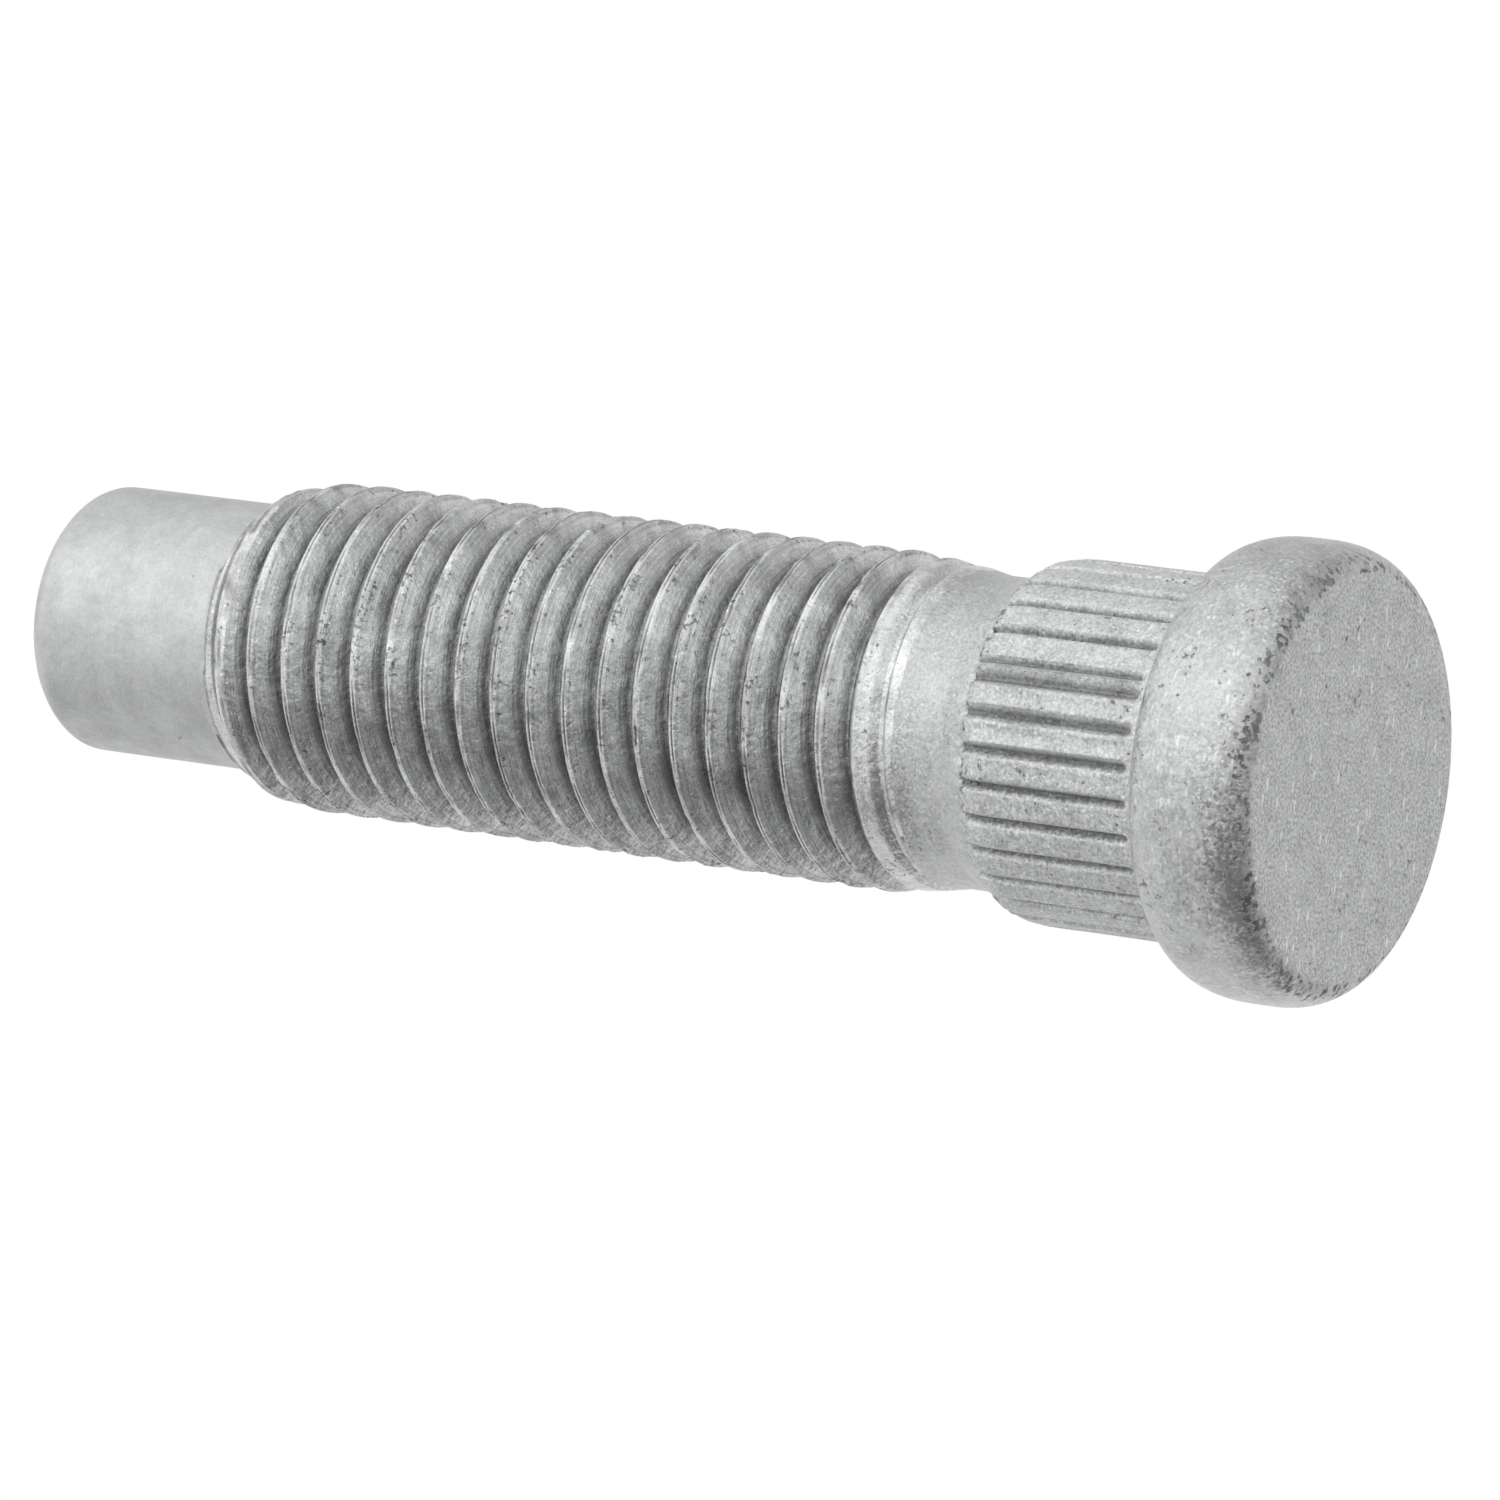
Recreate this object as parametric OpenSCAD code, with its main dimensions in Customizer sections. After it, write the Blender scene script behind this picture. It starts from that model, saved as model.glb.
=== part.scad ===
// Wheel stud: a press-in stud with a splined shank and a rolled thread.
// It stands on its round head, and its axis runs along +Z.

/* [Head] */
// Diameter across the round rim
head_d = 16.06; // [15.4:0.02:17]
// Height of the head
head_h = 4.6; // [3.8:0.1:6]
// Diameter of the flat outer face
face_d = 13.6; // [12:0.1:14.4]
// Squareness of the face's rounded edge, where 2 is an ellipse
face_square = 2.25; // [1.8:0.05:3]
// Height at which the rim reaches its full width
rim_from = 1.9; // [1.2:0.1:2.2]
// Height of the straight part of the rim
rim_h = 0.8; // [0.2:0.1:1.2]
// Diameter of the flat seat under the head
seat_d = 14.3; // [13.6:0.1:15]

/* [Splined shank] */
// Diameter over the splines
spline_d = 12.8; // [12.6:0.05:13.2]
// Length of the straight splines above the seat
spline_len = 6.3; // [4:0.1:8]
// Height of the relief between the seat and the splines
relief_h = 0.15; // [0.1:0.01:0.5]
// Full grooves round the shank
groove_count = 31; // [24:1:36]
// Part of a pitch left over where the rolled pattern meets itself
seam_part = 0.5; // [0.3:0.05:0.8]
// Direction of the first full groove past that place, in degrees from +X
groove_start = -55.9; // [-180:0.1:180]
// Depth of a groove
groove_depth = 0.3; // [0.15:0.01:0.35]
// Width of a groove at the outside
groove_w = 0.46; // [0.3:0.02:0.8]

/* [Neck] */
// Diameter of the plain neck
neck_d = 11; // [10.4:0.05:11]
// Length of the neck's straight part
neck_len = 1.15; // [0.5:0.1:2]
// Length over which the neck swells into the thread
swell_len = 3.2; // [2.4:0.1:4]

/* [Thread] */
// Diameter over the crests
thread_d = 12; // [11.8:0.02:12.1]
// Distance from one crest to the next
pitch = 1.5; // [1.25:0.05:1.75]
// Depth from crest to root
thread_depth = 0.92; // [0.6:0.02:0.96]
// Width of the flat crest
crest_w = 0.25; // [0.15:0.01:0.4]
// Length of the thread with full crests
thread_len = 24; // [12:0.1:30]
// Direction in which the first shallow groove opens, in degrees from +X
thread_start = 180; // [-180:1:180]

/* [Nose] */
// Length of the taper from the full crests down to the nose
taper_len = 3.5; // [3.2:0.1:4]
// Diameter of the plain pilot nose
nose_d = 9.77; // [9.4:0.01:9.9]
// Length of the straight part of the nose
nose_len = 6.6; // [3:0.1:9]
// Height of the rounding at the tip
tip_h = 1.25; // [0.6:0.05:2]
// Width of the rounding at the tip
tip_w = 2.1; // [1:0.05:3]

/* [Hidden] */
$fn = 120;

head_r = head_d / 2;
face_r = face_d / 2;
seat_r = seat_d / 2;
spline_r = spline_d / 2;
neck_r = neck_d / 2;
crest_r = thread_d / 2;
root_r = crest_r - thread_depth;
nose_r = nose_d / 2;

spline_to = head_h + spline_len;
neck_from = spline_to + 2.35;
swell_from = neck_from + neck_len;
full_from = swell_from + swell_len;
full_to = full_from + thread_len;
nose_from = full_to + taper_len;
nose_to = nose_from + nose_len;
stud_h = nose_to + tip_h;

// The thread's solid runs between these heights, and plain turned forms meet it at both ends
thread_low = swell_from + 0.2;
thread_high = nose_from - 0.4;

// Points along part of an ellipse about c, from angle a to angle b
function arc(c, rx, ry, a, b, n) =
    [for (i = [0:n]) c + [rx * cos(a + (b - a) * i / n), ry * sin(a + (b - a) * i / n)]];

// The face's rounded edge, from the flat face out to the rim
function face_edge(n) =
    let (rx = head_r - face_r, k = 2 / face_square)
    [for (i = [0:n]) let (a = 90 * i / n) [face_r + rx * pow(sin(a), k), rim_from * (1 - pow(cos(a), k))]];

// Half of the head's outline, from the middle of its face to the edge of the seat
rim_top = rim_from + rim_h;
head_outline = concat(
    [[0, 0]],
    face_edge(10),
    arc([seat_r, rim_top], head_r - seat_r, head_h - rim_top, 0, 90, 6)
);

// A shallow relief parts the splines from the seat. They round off at their other end, where
// they break off steeply, and the blank falls as a smooth cone from there to the neck.
relief_r = spline_r - groove_depth - 0.03;
shank_outline = [
    [spline_r, head_h],
    [relief_r, head_h + relief_h / 3],
    [relief_r, head_h + relief_h],
    [spline_r - 0.05, head_h + relief_h],
    [spline_r, head_h + relief_h + 0.05],
    [spline_r, spline_to],
    [spline_r - 0.02, spline_to + 0.3],
    [spline_r - 0.08, spline_to + 0.7],
    [spline_r - 0.18, spline_to + 0.95],
    [spline_r - 0.24, spline_to + 1.02],
    [spline_r - 0.43, spline_to + 1.1],
    [spline_r - 0.51, spline_to + 1.3],
    [neck_r + 0.2, spline_to + 1.85],
    [neck_r, neck_from]
];

// Radius of the crests along the axis: up from the neck, at full size, then down to the nose
swell_r = crest_r - neck_r;
crest_line = [
    [swell_from, neck_r],
    [swell_from + 0.19 * swell_len, neck_r + 0.22 * swell_r],
    [swell_from + 0.3 * swell_len, neck_r + 0.38 * swell_r],
    [swell_from + 0.5 * swell_len, neck_r + 0.52 * swell_r],
    [full_from, crest_r],
    [full_to, crest_r],
    [full_to + 0.7, crest_r - 0.13],
    [full_to + 1.9, crest_r - 0.4],
    [nose_from, nose_r]
];

function crest_at(z) = lookup(z, crest_line);

module lower_blank() {
    rotate_extrude()
        polygon(concat(
            head_outline,
            shank_outline,
            [
                [neck_r, swell_from],
                [crest_at(thread_low) + 0.03, thread_low],
                [0, thread_low]
            ]
        ));
}

// The nose, whose core runs down inside the thread to the neck
module nose() {
    rotate_extrude()
        polygon(concat(
            [
                [0, swell_from],
                [nose_r, swell_from],
                [nose_r, thread_high - 0.1],
                [crest_at(thread_high) - 0.04, thread_high - 0.1],
                [crest_at(thread_high) - 0.04, thread_high],
                [nose_r, nose_from]
            ],
            arc([nose_r - tip_w, nose_to], tip_w, tip_h, 0, 90, 8),
            [[0, stud_h]]
        ));
}

// One straight groove along the splines, narrowing to a flat floor
module spline_groove(depth) {
    floor_half = 0.05;
    flank = (groove_w / 2 - floor_half) / groove_depth;
    over = 0.4;
    top_half = floor_half + (depth + over) * flank;
    translate([0, 0, head_h + relief_h / 2])
        linear_extrude(spline_len + 1.6 - relief_h / 2)
            polygon([
                [spline_r - depth, -floor_half],
                [spline_r + over, -top_half],
                [spline_r + over, top_half],
                [spline_r - depth, floor_half]
            ]);
}

groove_step = 360 / (groove_count + seam_part);

module spline_grooves() {
    for (i = [0:groove_count - 1])
        rotate(groove_start + i * groove_step)
            spline_groove(groove_depth);

    // The leftover space has one shallow groove
    rotate(groove_start - 0.68 * (1 + seam_part) * groove_step)
        spline_groove(0.6 * groove_depth);
}

// The thread is one solid whose points climb with the helix. A ring holds the four corners
// of the groove at one angle, and its last corner meets the first of the ring a turn above.
columns = 40;
groove_from = swell_from + 0.76;
ring_count = floor((thread_high - 0.8 - groove_from) * columns / pitch);

// Share of the groove's depth over its first turns: a shallow one, then the full groove
run_out = [[0, 0], [0.15, 0.17], [0.55, 0.2], [0.85, 0.45], [1.25, 0.93], [1.6, 1]];

function root_at(t) =
    let (edge = crest_at(groove_from + pitch * t))
    edge - (edge - root_r) * lookup(t, run_out);

function half_at(r) =
    (pitch - crest_w) / 2 - (crest_r - r) * tan(30);

function on_column(r, t, z) =
    [r * cos(360 * t), r * sin(360 * t), z];

function groove_ring(t) =
    let (mid = groove_from + pitch * t)
    [for (c = [[-1, false], [-1, true], [1, true], [1, false]])
        let (edge = crest_at(mid + c[0] * pitch / 3),
             r = c[1] ? min(root_at(t), edge) : edge,
             z = mid + c[0] * (half_at(r) - (c[1] ? 0.02 : 0)))
            on_column(c[1] ? r : crest_at(z), t, z)];

function flat_ring(z) =
    [for (j = [0:columns - 1]) on_column(crest_at(z), j / columns, z)];

// Triangles that fill a strip between two rows of point numbers
function strip(lower, upper) =
    [for (i = [0:len(lower) - 2])
        each [[lower[i], upper[i], lower[i + 1]], [lower[i + 1], upper[i], upper[i + 1]]]];

// Triangles from one point to each step along a row
function fan(from, row) =
    [for (i = [0:len(row) - 2]) [from, row[i], row[i + 1]]];

function corner(ring, k) = 4 * ring + k;
function corners(a, b, k) = [for (i = [a:b]) corner(i, k)];

module thread() {
    n = columns;
    last = ring_count;
    base = 4 * (last + 1);
    low_ring = [for (j = [0:n - 1]) base + j];
    high_ring = [for (j = [0:n - 1]) base + n + (last + j) % n];
    points = concat(
        [for (i = [0:last]) each groove_ring(i / n)],
        flat_ring(thread_low - 0.1),
        flat_ring(thread_high)
    );
    faces = concat(
        // Flanks and root
        [for (k = [0:2]) each strip(corners(0, last, k), corners(0, last, k + 1))],
        // Crest between one turn and the next
        strip(corners(0, last - n, 3), corners(n, last, 0)),
        // Foot of the thread, up to the first turn and round the step in its column
        strip(low_ring, corners(0, n - 1, 0)),
        fan(corner(n - 1, 0), concat(
            [corner(n, 0)],
            [for (k = [3:-1:0]) corner(0, k)],
            [low_ring[0], low_ring[n - 1]]
        )),
        // Head of the thread, the same way
        strip(corners(last - n + 1, last, 3), [for (j = [1:n]) high_ring[j % n]]),
        fan(corner(last - n + 1, 3), concat(
            [corner(last - n, 3)],
            [for (k = [0:3]) corner(last, k)],
            [high_ring[0], high_ring[1]]
        )),
        [low_ring],
        [[for (j = [n - 1:-1:0]) high_ring[j]]]
    );
    rotate(thread_start)
        polyhedron(points = points, faces = faces, convexity = 10);
}

module wheel_stud() {
    color([0.66, 0.67, 0.68]) {
        difference() {
            lower_blank();
            spline_grooves();
        }
        thread();
        nose();
    }
}

wheel_stud();
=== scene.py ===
import math
import bpy
from mathutils import Matrix, Vector


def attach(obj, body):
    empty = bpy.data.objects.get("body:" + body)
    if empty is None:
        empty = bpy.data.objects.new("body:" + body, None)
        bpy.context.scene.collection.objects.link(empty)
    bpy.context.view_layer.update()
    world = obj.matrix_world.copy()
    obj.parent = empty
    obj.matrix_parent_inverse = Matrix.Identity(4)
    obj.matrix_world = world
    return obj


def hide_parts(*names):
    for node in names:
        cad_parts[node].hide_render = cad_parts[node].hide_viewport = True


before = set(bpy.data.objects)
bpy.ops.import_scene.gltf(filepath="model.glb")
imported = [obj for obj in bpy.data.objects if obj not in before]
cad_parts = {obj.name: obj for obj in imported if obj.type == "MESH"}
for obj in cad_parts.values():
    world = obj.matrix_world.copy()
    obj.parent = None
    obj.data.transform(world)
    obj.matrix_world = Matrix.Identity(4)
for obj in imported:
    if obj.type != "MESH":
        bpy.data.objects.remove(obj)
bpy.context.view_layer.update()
scene = bpy.context.scene

mm = 0.001  # shapes are drawn in millimetres and scaled once, as they are joined
turn = math.tau
studNode = "wheel_stud"


# Node trees

# A value in a node tree, with sums written as sums
class Wire:
    def __init__(self, tree, socket):
        self.tree, self.socket = tree, socket

    def calc(self, operation, *others):
        node = put(self.tree, "ShaderNodeMath", self, *others, operation=operation)
        return Wire(self.tree, node.outputs[0])

    def __add__(self, other):
        return self.calc("ADD", other)

    def __radd__(self, other):
        return self + other

    def __sub__(self, other):
        return self.calc("SUBTRACT", other)

    def __rsub__(self, other):
        return self * -1 + other

    def __mul__(self, other):
        return self.calc("MULTIPLY", other)

    def __truediv__(self, other):
        return self.calc("DIVIDE", other)

    def __rtruediv__(self, other):
        return self.power(-1.0) * other

    def __mod__(self, other):
        return self.calc("FLOORED_MODULO", other)

    def power(self, other):
        return self.calc("POWER", other)

    def floor(self):
        return self.calc("FLOOR")

    def ceil(self):
        return self.calc("CEIL")

    def round(self):
        return self.calc("ROUND")

    def sin(self):
        return self.calc("SINE")

    def cos(self):
        return self.calc("COSINE")

    def abs(self):
        return self.calc("ABSOLUTE")

    def sign(self):
        return self.calc("SIGN")

    def above(self, other):
        return self.calc("GREATER_THAN", other)

    def below(self, other):
        return self.calc("LESS_THAN", other)

    def atMost(self, other):
        return self.calc("MINIMUM", other)

    def atLeast(self, other):
        return self.calc("MAXIMUM", other)

    # Runs smoothly from 0 to 1 between two values, or from low to high
    def ramp(self, start, end, low=0.0, high=1.0, smooth=True):
        shape = "SMOOTHSTEP" if smooth else "LINEAR"
        node = put(self.tree, "ShaderNodeMapRange", self, start, end, low, high, interpolation_type=shape)
        return Wire(self.tree, node.outputs[0])


# Adds a node: sockets given are linked, plain values set, and None leaves a socket as it is
def put(tree, kind, *values, **settings):
    node = tree.nodes.new(kind)
    for name, value in settings.items():
        setattr(node, name, value)
    for socket, value in zip([s for s in node.inputs if s.enabled], values):
        join(tree, value, socket)
    return node


def join(tree, value, socket):
    if isinstance(value, Wire):
        value = value.socket
    if isinstance(value, bpy.types.Node):
        value = [s for s in value.outputs if s.enabled][0]
    if isinstance(value, bpy.types.NodeSocket):
        tree.links.new(value, socket)
    elif value is not None:
        socket.default_value = value


def out(node, name):
    return Wire(node.id_data, [s for s in node.outputs if s.enabled and s.name == name][0])


def splitPoint(tree, point):
    return [Wire(tree, s) for s in put(tree, "ShaderNodeSeparateXYZ", point).outputs]


socketKinds = {
    float: "NodeSocketFloat", int: "NodeSocketInt", Vector: "NodeSocketVector",
    bpy.types.Material: "NodeSocketMaterial", bpy.types.Object: "NodeSocketObject",
}


# A geometry tree with one input for each size; returns it with its inputs as wires
def shapeTree(name, sizes):
    tree = bpy.data.node_groups.new(name, "GeometryNodeTree")
    tree.is_modifier = True
    tree.interface.new_socket("Geometry", in_out="INPUT", socket_type="NodeSocketGeometry")
    for label, value in sizes.items():
        kind = value if isinstance(value, type) else type(value)
        socket = tree.interface.new_socket(label, in_out="INPUT", socket_type=socketKinds[kind])
        if isinstance(value, (int, float)):
            socket.default_value = value
    tree.interface.new_socket("Geometry", in_out="OUTPUT", socket_type="NodeSocketGeometry")
    source = tree.nodes.new("NodeGroupInput")
    return tree, {s.name: Wire(tree, s) for s in source.outputs if s.name}


def paint(tree, geometry, material, where=None):
    painted = put(tree, "GeometryNodeSetMaterial", geometry, where)
    join(tree, material, painted.inputs["Material"])
    return painted


# Ends a geometry tree: instances made real, and the material set
def endTree(tree, geometry, material, where=None):
    real = put(tree, "GeometryNodeRealizeInstances", geometry)
    put(tree, "NodeGroupOutput", paint(tree, real, material, where))


# Gives an object the tree as a modifier, each size set by its socket's identifier
def shapeBy(piece, tree, sizes):
    modifier = piece.modifiers.new(tree.name, "NODES")
    modifier.node_group = tree
    for item in tree.interface.items_tree:
        if item.item_type == "SOCKET" and item.in_out == "INPUT" and item.name in sizes:
            modifier[item.identifier] = sizes[item.name]


def outlineObject(name, points):
    mesh = bpy.data.meshes.new(name)
    mesh.from_pydata([Vector(p) for p in points], [(i, i + 1) for i in range(len(points) - 1)], [])
    piece = bpy.data.objects.new(name, mesh)
    scene.collection.objects.link(piece)
    return piece


# A grid whose columns run round the axis and whose rows follow the input outline's points
def sweepGrid(tree, outline, columns, rows=None):
    if rows is None:
        counted = put(tree, "GeometryNodeAttributeDomainSize", outline, component="MESH")
        rows = out(counted, "Point Count")
    grid = put(tree, "GeometryNodeMeshGrid", 1.0, 1.0, columns + 1, rows)
    index = Wire(tree, put(tree, "GeometryNodeInputIndex").outputs[0])
    return out(grid, "Mesh"), (index / rows).floor(), index % rows


# The outline's point for each row: its radius, second value and height
def rowPoint(tree, outline, row):
    place = put(tree, "GeometryNodeInputPosition")
    sample = put(tree, "GeometryNodeSampleIndex", outline, place, row, data_type="FLOAT_VECTOR", clamp=True)
    return splitPoint(tree, out(sample, "Value"))


weld = {"rows": 0.0004, "forms": 0.008}  # points closer than this become one


# Puts the grid's points on a round form and closes its seam and its pole. How far a point lies
# down its groove and on the crest's seam, each from 0 to 1, is kept for the materials' painted shade.
def wrapRound(tree, grid, radius, angle, height, sunk=0.0, seam=0.0):
    for name, value in (("sunk", sunk), ("seam", seam)):
        grid = put(tree, "GeometryNodeStoreNamedAttribute", grid, None, name, value,
                   data_type="FLOAT", domain="POINT")
    point = put(tree, "ShaderNodeCombineXYZ", radius * angle.cos(), radius * angle.sin(), height)
    placed = put(tree, "GeometryNodeSetPosition", grid, None, point)
    return put(tree, "GeometryNodeMergeByDistance", placed, None, weld["rows"])


def noiseAt(tree, position, scale, detail=2.0, roughness=0.5, seed=0.0):
    if seed:
        shift = (seed, seed * 1.7, -seed)
        position = out(put(tree, "ShaderNodeVectorMath", position, shift, operation="ADD"), "Vector")
    node = put(tree, "ShaderNodeTexNoise", position, scale, detail, roughness, noise_dimensions="3D")
    return Wire(tree, [s for s in node.outputs if s.enabled][0])


# Follows a table of (value, result) in straight steps
def alongTable(tree, value, table):
    low, high = table[0][0], table[-1][0]
    results = [r for v, r in table]
    bottom, top = min(results), max(results)
    node = put(tree, "ShaderNodeFloatCurve", None, value.ramp(low, high, smooth=False))
    points = node.mapping.curves[0].points
    spots = [((v - low) / (high - low), (r - bottom) / (top - bottom)) for v, r in table]
    points[0].location, points[-1].location = spots[0], spots[-1]
    for spot in spots[1:-1]:
        points.new(*spot)
    for point in points:
        point.handle_type = "VECTOR"
    node.mapping.update()
    return Wire(tree, node.outputs[0]) * (top - bottom) + bottom


# Points along a rounded corner, as square as its exponent says; an exponent of 2 is an ellipse
def arcPoints(cx, cz, rx, rz, start, end, steps, exponent=2.0):
    points = []
    for i in range(steps + 1):
        angle = math.radians(start + (end - start) * i / steps)
        x, z = [math.copysign(abs(v) ** (2 / exponent), v) for v in (math.cos(angle), math.sin(angle))]
        points.append((cx + rx * x, 0.0, cz + rz * z))
    return points


def between(low, high, steps):
    return [low + (high - low) * i / steps for i in range(steps + 1)]


# Shared surface effects

# A shader group with named inputs; returns it with its inputs as wires
def effectGroup(name, inputs):
    tree = bpy.data.node_groups.new(name, "ShaderNodeTree")
    for label, value in inputs.items():
        socket = tree.interface.new_socket(label, in_out="INPUT", socket_type=socketKinds[type(value)])
        if not isinstance(value, Vector):
            socket.default_value = value
    source = tree.nodes.new("NodeGroupInput")
    return tree, {s.name: Wire(tree, s) for s in source.outputs if s.name}


def endGroup(tree, results):
    for label in results:
        tree.interface.new_socket(label, in_out="OUTPUT", socket_type="NodeSocketFloat")
    sink = tree.nodes.new("NodeGroupOutput")
    for label, value in results.items():
        join(tree, value, sink.inputs[label])
    return tree


def useGroup(tree, group, values):
    node = put(tree, "ShaderNodeGroup", node_tree=group)
    for label, value in values.items():
        join(tree, value, node.inputs[label])
    return node


def cells(tree, position, scale):
    return put(tree, "ShaderNodeTexVoronoi", position, scale, feature="F1", voronoi_dimensions="3D")


# A noise stretched so that nearly all of it runs from 0 to 1
def fullNoise(tree, position, scale, detail, roughness):
    return noiseAt(tree, position, scale, detail, roughness).ramp(0.3, 0.7, smooth=False)


# Fine grain of the flake coat on broad soft mottling, each from 0 to 1, and the height of
# flakes that lie tilted each its own way
def makeGrain():
    tree, given = effectGroup("flakeGrain", {"Place": Vector(), "Grain Size": 0.1, "Patch Size": 1.2})
    place, size = given["Place"], given["Grain Size"]
    lumpsPerGrain = 0.3
    flakes = cells(tree, place, 1 / size)
    away = put(tree, "ShaderNodeVectorMath", place, out(flakes, "Position"), operation="SUBTRACT")
    middle = (0.5, 0.5, 0.5)  # a cell's colour runs from 0 to 1, so this gives leans of both signs
    lean = put(tree, "ShaderNodeVectorMath", out(flakes, "Color"), middle, operation="SUBTRACT")
    away, lean = out(away, "Vector"), out(lean, "Vector")
    tilt = put(tree, "ShaderNodeVectorMath", away, lean, operation="DOT_PRODUCT")
    fine = fullNoise(tree, place, 1 / size, 2.0, 0.6)
    lumps = fullNoise(tree, place, lumpsPerGrain / size, 2.0, 0.5)
    patch = fullNoise(tree, place, 1 / given["Patch Size"], 3.0, 0.6)
    return endGroup(tree, {"Grain": fine, "Lumps": lumps, "Patch": patch, "Flakes": out(tilt, "Value")})


# How pits form: their ragged edges, the noise level they need, how much the amount of dirt
# lowers that level, and how much it rises away from the clusters
pitForm = {
    "raggedScale": 2.2, "raggedShare": 0.3, "level": 0.62, "byAmount": 0.25, "byCluster": 0.2,
    "cluster": (0.75, 0.35), "edge": 0.09,
}


# Small dark pits and dirt, gathered in clusters
def makePits():
    tree, given = effectGroup("darkPits", {
        "Place": Vector(), "Pit Size": 0.3, "Cluster Size": 2.0, "Amount": 0.3,
    })
    place, p = given["Place"], pitForm
    ragged = noiseAt(tree, place, p["raggedScale"] / given["Pit Size"], 2.0, 0.6)
    spots = noiseAt(tree, place, 1 / given["Pit Size"], 2.0, 0.5)
    spread = noiseAt(tree, place, 1 / given["Cluster Size"], 3.0, 0.6)
    reach = spread.ramp(*p["cluster"], smooth=False)
    height = spots * (1 - p["raggedShare"]) + ragged * p["raggedShare"]
    over = height - p["level"] + given["Amount"] * p["byAmount"] - reach * p["byCluster"]
    return endGroup(tree, {"Pits": over.ramp(0.0, p["edge"])})


# Painted glints: bright flecks in the colour where single flakes catch the light
def makeFlecks():
    tree, given = effectGroup("paintedGlints", {"Place": Vector(), "Fleck Size": 0.12, "Share": 0.1})
    softEdge = (0.55, 0.2)  # distance from a cell's middle, in cells
    spots = cells(tree, given["Place"], 1 / given["Fleck Size"])
    pick = splitPoint(tree, out(spots, "Color"))[0]
    mask = pick.above(1 - given["Share"]) * out(spots, "Distance").ramp(*softEdge)
    return endGroup(tree, {"Flecks": mask})


# Light and dark lines that rolling or turning drew round the axis
def makeLines():
    tree, given = effectGroup("rolledLines", {
        "Place": Vector(), "Across": 0.0, "Line Width": 0.05, "Run": 2.0,
    })
    x, y = splitPoint(tree, given["Place"])[:2]
    run, width = given["Run"], given["Line Width"]
    where = put(tree, "ShaderNodeCombineXYZ", x / run, y / run, given["Across"] / width)
    return endGroup(tree, {"Lines": fullNoise(tree, out(where, "Vector"), 1.0, 1.0, 0.5)})


flakeGrain, darkPits, paintedGlints, rolledLines = makeGrain(), makePits(), makeFlecks(), makeLines()
print("surface effects ready")


# Coat of each zone: tones as shares of the base tone, sizes and bump heights in millimetres
coats = {
    "head": {
        "tone": 0.61, "roughness": 0.36, "grainSize": 0.12, "grainTone": 0.14, "patchTone": 0.10,
        "lineTone": 0.0, "flakeTilt": 0.31, "grainBump": 0.005, "lumpBump": 0.018, "lineBump": 0.0,
        "pitSize": 0.24, "clusterSize": 1.9, "pitAmount": 0.42, "pitGather": 0.56,
        "fleckSize": 0.16, "fleckShare": 0.16, "paintedGlintTone": 0.3,
        "paintedShadeFrom": 0.0, "paintedGrooveShade": 0.0, "seamTone": 0.0,
    },
    "shank": {
        "tone": 0.70, "roughness": 0.60, "grainSize": 0.11, "grainTone": 0.22, "patchTone": 0.08,
        "lineTone": 0.03, "flakeTilt": 0.48, "grainBump": 0.008, "lumpBump": 0.012, "lineBump": 0.001,
        "pitSize": 0.22, "clusterSize": 1.8, "pitAmount": 0.46, "pitGather": 0.5,
        "fleckSize": 0.15, "fleckShare": 0.08, "paintedGlintTone": 0.3,
        "paintedShadeFrom": 0.2, "paintedGrooveShade": 0.5, "seamTone": 0.0,
    },
    "neck": {
        "tone": 0.61, "roughness": 0.40, "grainSize": 0.10, "grainTone": 0.14, "patchTone": 0.07,
        "lineTone": 0.02, "flakeTilt": 0.32, "grainBump": 0.004, "lumpBump": 0.012, "lineBump": 0.001,
        "pitSize": 0.18, "clusterSize": 1.8, "pitAmount": 0.15, "pitGather": 0.6,
        "fleckSize": 0.15, "fleckShare": 0.05, "paintedGlintTone": 0.25,
        "paintedShadeFrom": 0.2, "paintedGrooveShade": 0.3, "seamTone": 0.0,
    },
    "thread": {
        "tone": 0.74, "roughness": 0.28, "grainSize": 0.10, "grainTone": 0.11, "patchTone": 0.22,
        "lineTone": 0.20, "flakeTilt": 0.17, "grainBump": 0.005, "lumpBump": 0.026, "lineBump": 0.006,
        "pitSize": 0.17, "clusterSize": 1.4, "pitAmount": 0.24, "pitGather": 0.42,
        "fleckSize": 0.13, "fleckShare": 0.08, "paintedGlintTone": 0.35,
        "paintedShadeFrom": 0.3, "paintedGrooveShade": 0.6, "seamTone": 0.55,
    },
    # The nose's tone is partly painted light: it is raised to stand in for light thrown back onto the nose
    # from close by
    "nose": {
        "tone": 0.645, "roughness": 0.52, "grainSize": 0.12, "grainTone": 0.06, "patchTone": 0.10,
        "lineTone": 0.03, "flakeTilt": 0.07, "grainBump": 0.003, "lumpBump": 0.010, "lineBump": 0.001,
        "pitSize": 0.26, "clusterSize": 2.4, "pitAmount": 0.15, "pitGather": 0.0,
        "fleckSize": 0.12, "fleckShare": 0.02, "paintedGlintTone": 0.15,
        "paintedShadeFrom": 0.0, "paintedGrooveShade": 0.0, "seamTone": 0.0,
    },
}

# Finish that all zones share. The flat face mirrors one even panel, so its grain and its fewer
# painted glints, drawn as scratches, show by tone.
finish = {
    "metallic": 0.9, "lightest": 0.95, "tint": (0.992, 1.0, 1.006), "patchSize": 1.3,
    "lineWidth": 0.06, "lineRun": 2.5, "scratchStretch": 0.3,
    "faceBelow": 0.02, "faceGrain": 0.26, "facePaintedGlints": 0.3, "faceFewer": 0.11,
    "pitDark": 0.35, "pitRough": 0.2, "pitDepth": 0.02, "lumpRough": 0.12, "scuffRough": 0.14,
}
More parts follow.
